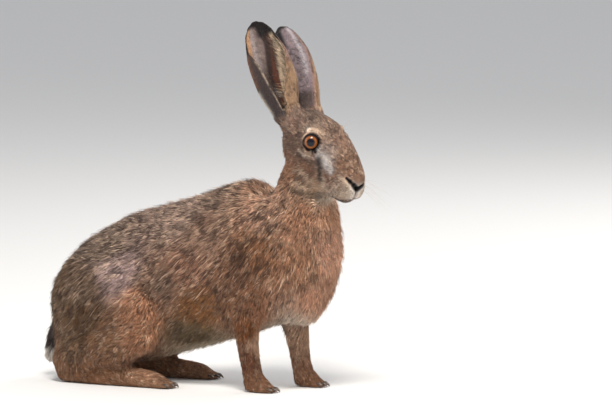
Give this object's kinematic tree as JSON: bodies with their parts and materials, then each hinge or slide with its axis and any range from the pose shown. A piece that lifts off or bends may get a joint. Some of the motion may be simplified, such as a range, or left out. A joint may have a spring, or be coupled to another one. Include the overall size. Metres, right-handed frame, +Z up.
{
  "type": "brown hare museum model",
  "caption": "Life-size still model of a brown hare sitting alert, ears raised and head turned to its right, with hind feet folded flat and forelegs straight.",
  "frame": {"origin": "on the floor under the centre of the bounding box", "axes": "+X the way the body faces, +Y to the hare's left, +Z up from the floor that its feet rest on"},
  "size_m": [0.4102, 0.1524, 0.3962],
  "materials": {
    "coat_back": "fur, dark brown with buff ticking",
    "coat_thigh": "fur, greyish brown to rufous",
    "coat_chest": "fur, rufous brown",
    "coat_face": "short fur, brown with pale marks",
    "coat_legs": "short fur, pale rufous",
    "coat_tail": "fur, white with a black top",
    "ear": "very short fur, grey brown with a black tip",
    "eye": "glossy, amber round a dark pupil"
  },
  "bodies": {
    "root": {"head": "coat_face", "neck": "coat_chest", "trunk": "coat_back", "tail": "coat_tail", "ear_left": "ear", "ear_right": "ear", "eye_left": "eye", "eye_right": "eye", "foreleg_left": "coat_legs", "foreleg_right": "coat_legs", "forepaw_left": "coat_legs", "forepaw_right": "coat_legs", "thigh_left": "coat_thigh", "thigh_right": "coat_thigh", "hind_foot_left": "coat_legs", "hind_foot_right": "coat_legs"}
  },
  "joints": []
}
